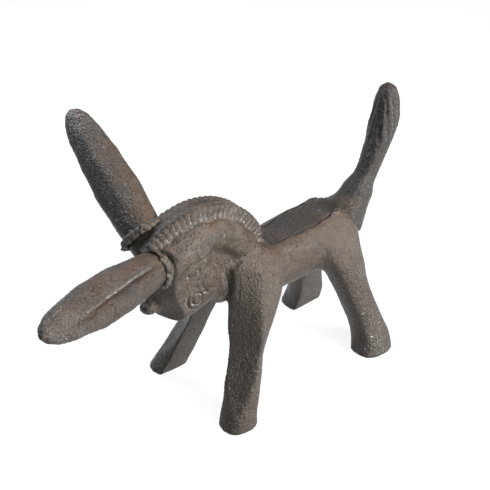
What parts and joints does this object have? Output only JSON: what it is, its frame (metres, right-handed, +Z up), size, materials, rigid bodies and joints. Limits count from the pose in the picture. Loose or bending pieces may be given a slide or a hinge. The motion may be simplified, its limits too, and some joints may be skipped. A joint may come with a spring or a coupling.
{
  "type": "nutcracker",
  "caption": "Donkey-shaped cast-iron nutcracker with long ears. Lifting the raised tail lifts the strip along its back off a nut hollow, and pressing the tail down cracks the nut.",
  "frame": {"origin": "floor point under the centre of the bounding box; the donkey's midplane is 16.2 mm to the +Y side of it because the ears reach different distances sideways", "axes": "+X towards the head, +Y towards the donkey's left, +Z up from the soles"},
  "size_m": [0.2293, 0.1085, 0.1392],
  "materials": {
    "antiqued_iron": "brown antiqued sand casting, satin with bright worn edges",
    "steel_fixings": "mild steel, browned with the casting",
    "braze": "lumpy braze bead, browned with the casting"
  },
  "bodies": {
    "donkey": {"body_left": "antiqued_iron", "body_right": "antiqued_iron", "ear_left": "antiqued_iron", "ear_right": "antiqued_iron", "ear_braze_left": "braze", "ear_braze_right": "braze", "pivot_pin": "steel_fixings", "neck_screw": "steel_fixings", "chest_screw": "steel_fixings", "hip_screw": "steel_fixings", "locating_dowels": "steel_fixings"},
    "lever": {"tail_lever": "antiqued_iron"}
  },
  "joints": [
    {"name": "tail_lift", "type": "hinge", "parent": "donkey", "child": "lever", "pos_m": [-0.0295, 0.0162, 0.0726], "axis": [0, 1, 0], "range_deg": [0, 60]}
  ]
}
